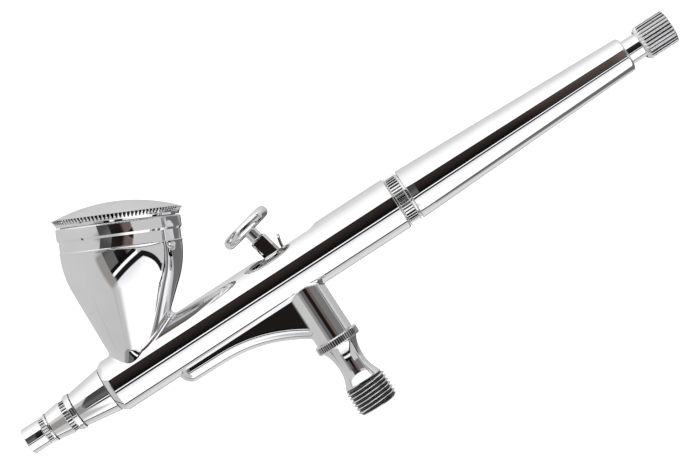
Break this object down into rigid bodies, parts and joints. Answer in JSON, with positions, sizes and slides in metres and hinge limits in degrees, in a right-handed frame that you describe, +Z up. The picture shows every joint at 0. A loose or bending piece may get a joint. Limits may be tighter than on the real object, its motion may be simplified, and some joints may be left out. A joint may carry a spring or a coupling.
{
  "type": "dual-action airbrush",
  "caption": "Gravity-feed dual-action airbrush: barrel with a tilted lidded paint cup, a press-and-pull finger trigger over a threaded air inlet, and a tapered handle with a preset knob.",
  "frame": {"origin": "centre of the air inlet's end face, where the hose fitting screws on", "axes": "+Z up the air valve towards the finger button, +X along the barrel from the nozzle to the handle, Y across; the mid-plane is y = 0"},
  "size_m": [0.1691, 0.029, 0.0736],
  "materials": {
    "chrome": "polished chrome plate",
    "bright_chrome": "bright chrome plate on the small front caps",
    "nickel": "nickel plate",
    "brass": "turned brass",
    "steel": "polished stainless steel",
    "spring_steel": "drawn spring wire",
    "ptfe": "white PTFE",
    "rubber": "black nitrile rubber"
  },
  "bodies": {
    "airbrush": {"body": "chrome", "paint_cup": "chrome", "head_base": "chrome", "head_seal": "ptfe", "nozzle": "brass", "nozzle_cap": "bright_chrome", "needle_cap": "bright_chrome", "needle_packing": "ptfe", "packing_screw": "brass", "spring_case": "nickel", "rear_connector": "chrome", "handle": "chrome", "valve_body": "chrome", "valve_gasket": "ptfe", "valve_screw": "brass", "needle_spring": "spring_steel", "valve_spring": "spring_steel"},
    "lid": {"cup_lid": "chrome"},
    "trigger_foot": {"trigger_foot": "steel", "trigger_pin": "steel"},
    "trigger": {"trigger_stem": "chrome", "finger_button": "chrome"},
    "aux_lever": {"auxiliary_lever": "steel"},
    "needle_set": {"needle": "steel", "needle_tube": "nickel", "chuck_nut": "nickel"},
    "plunger": {"valve_plunger": "brass", "plunger_o_ring": "rubber"},
    "knob_drag": {"knob_o_ring": "rubber"},
    "knob": {"preset_knob": "chrome", "stop_screw": "steel"}
  },
  "joints": [
    {"name": "trigger_press", "type": "slide", "parent": "airbrush", "child": "trigger_foot", "axis": [0, 0, -1], "range_m": [0, 0.0022], "stiffness_N_per_m": 600, "springref_m": -0.002},
    {"name": "trigger_pull", "type": "hinge", "parent": "trigger_foot", "child": "trigger", "pos_m": [0, 0, 0.0339], "axis": [0, 1, 0], "range_deg": [0, 25.1]},
    {"name": "lever_rock", "type": "hinge", "parent": "airbrush", "child": "aux_lever", "pos_m": [0.0039, 0, 0.032], "axis": [0, 1, 0], "range_deg": [0, 22.6]},
    {"name": "needle_draw", "type": "slide", "parent": "airbrush", "child": "needle_set", "axis": [1, 0, 0], "range_m": [0, 0.0023], "stiffness_N_per_m": 900, "springref_m": -0.002, "deforming": ["needle_spring"]},
    {"name": "plunger_press", "type": "slide", "parent": "airbrush", "child": "plunger", "axis": [0, 0, -1], "range_m": [0, 0.0022], "deforming": ["valve_spring"]},
    {"name": "knob_travel", "type": "slide", "parent": "airbrush", "child": "knob_drag", "axis": [1, 0, 0], "range_m": [-0.0024, 0.0012]},
    {"name": "knob_turn", "type": "hinge", "parent": "knob_drag", "child": "knob", "pos_m": [0.0955, 0, 0.0356], "axis": [1, 0, 0], "range_deg": [-1441, 721]},
    {"name": "lid_lift", "type": "slide", "parent": "airbrush", "child": "lid", "axis": [0.4321, 0, 0.9018], "range_m": [0, 0.03]}
  ],
  "couplings": [
    {"joint": "trigger_pull", "follows": "needle_draw", "rad_per_m": 189.7},
    {"joint": "lever_rock", "follows": "needle_draw", "rad_per_m": 170.7},
    {"joint": "plunger_press", "follows": "trigger_press", "ratio": 1},
    {"joint": "knob_turn", "follows": "knob_travel", "rad_per_m": 10472}
  ]
}
